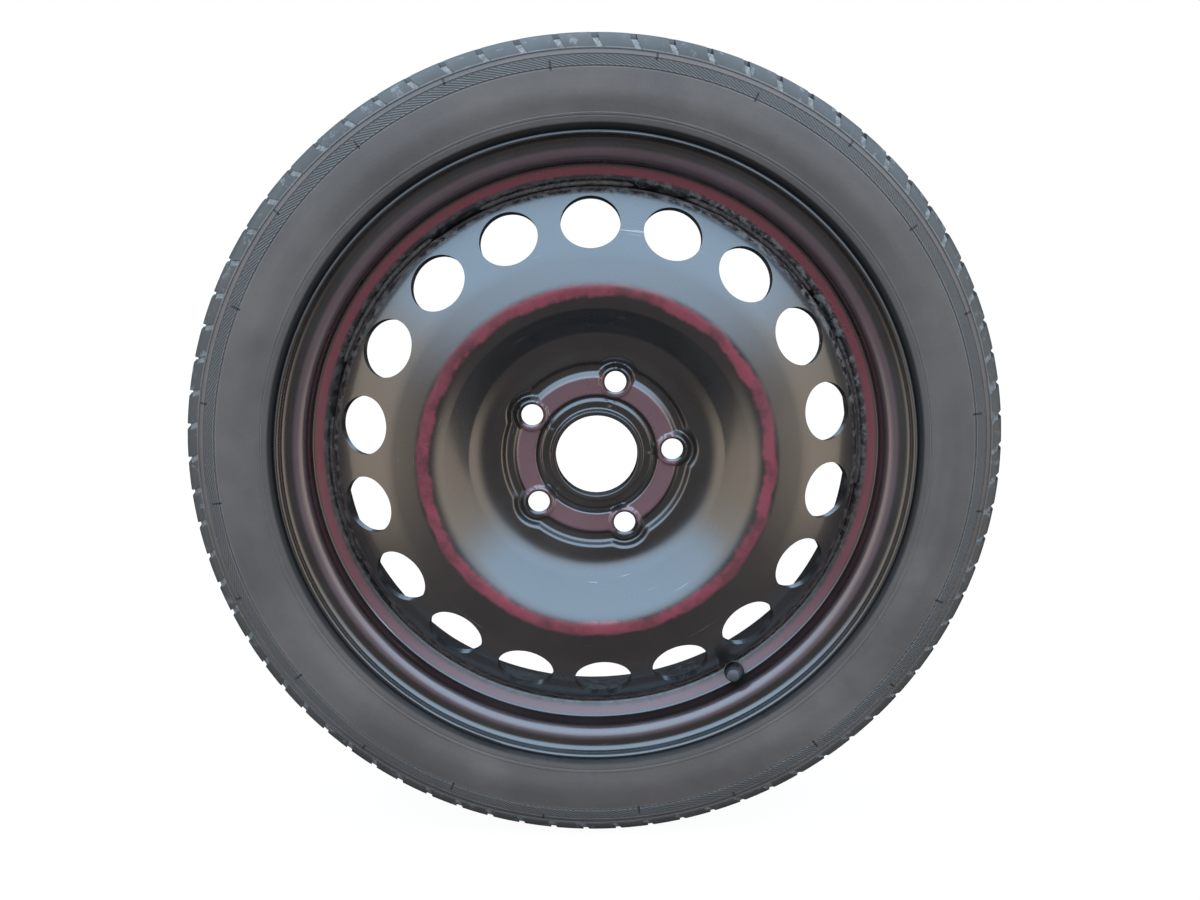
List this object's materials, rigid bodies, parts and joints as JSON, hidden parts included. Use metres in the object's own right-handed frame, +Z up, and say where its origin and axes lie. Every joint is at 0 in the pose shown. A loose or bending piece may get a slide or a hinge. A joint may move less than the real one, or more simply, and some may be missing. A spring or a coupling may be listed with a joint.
{
  "type": "space saver spare wheel",
  "caption": "Narrow temporary spare wheel: slim tyre on a black pressed steel wheel with round vents, bolt circle, hub bore and snap-in valve.",
  "frame": {"origin": "on the axle, at the centre of the hub bore in the plane of the inboard mounting face", "axes": "+Y runs along the axle to the inboard side, so the outboard face with the bowl looks along -Y; +Z is up as the wheel stands in the picture, with the valve low on the +X side"},
  "size_m": [0.568, 0.1397, 0.568],
  "materials": {
    "tyre": "dusty matt rubber",
    "black_paint": "gloss black paint",
    "weld": "painted weld bead",
    "valve_rubber": "moulded rubber",
    "brass": "turned brass",
    "seal": "moulded seal",
    "pin_steel": "drawn steel",
    "cap_plastic": "moulded plastic"
  },
  "bodies": {
    "wheel": {"tyre": "tyre", "rim": "black_paint", "disc": "black_paint", "disc_welds": "weld", "valve_body": "valve_rubber", "valve_stem": "brass", "core_plug": "brass", "core_barrel": "brass", "barrel_seal": "seal", "core_spring": "pin_steel"},
    "pin": {"core_pin": "pin_steel", "core_cup": "brass", "cup_seal": "valve_rubber"},
    "cap_liner": {"cap_seal": "valve_rubber"},
    "cap": {"valve_cap": "cap_plastic"}
  },
  "joints": [
    {"name": "pin_press", "type": "slide", "parent": "wheel", "child": "pin", "axis": [0.1517, 0.9563, -0.25], "range_m": [0, 0.0015], "stiffness_N_per_m": 700, "springref_m": -0.002, "deforming": ["core_spring"]},
    {"name": "cap_lift", "type": "slide", "parent": "wheel", "child": "cap_liner", "axis": [-0.1517, -0.9563, 0.25], "range_m": [0, 0.0064]},
    {"name": "cap_turn", "type": "hinge", "parent": "cap_liner", "child": "cap", "pos_m": [0.10012, 0.00623, -0.165], "axis": [-0.1517, -0.9563, 0.25], "range_deg": [0, 2880]}
  ],
  "couplings": [
    {"joint": "cap_lift", "follows": "cap_turn", "m_per_rad": 0.00012637}
  ]
}
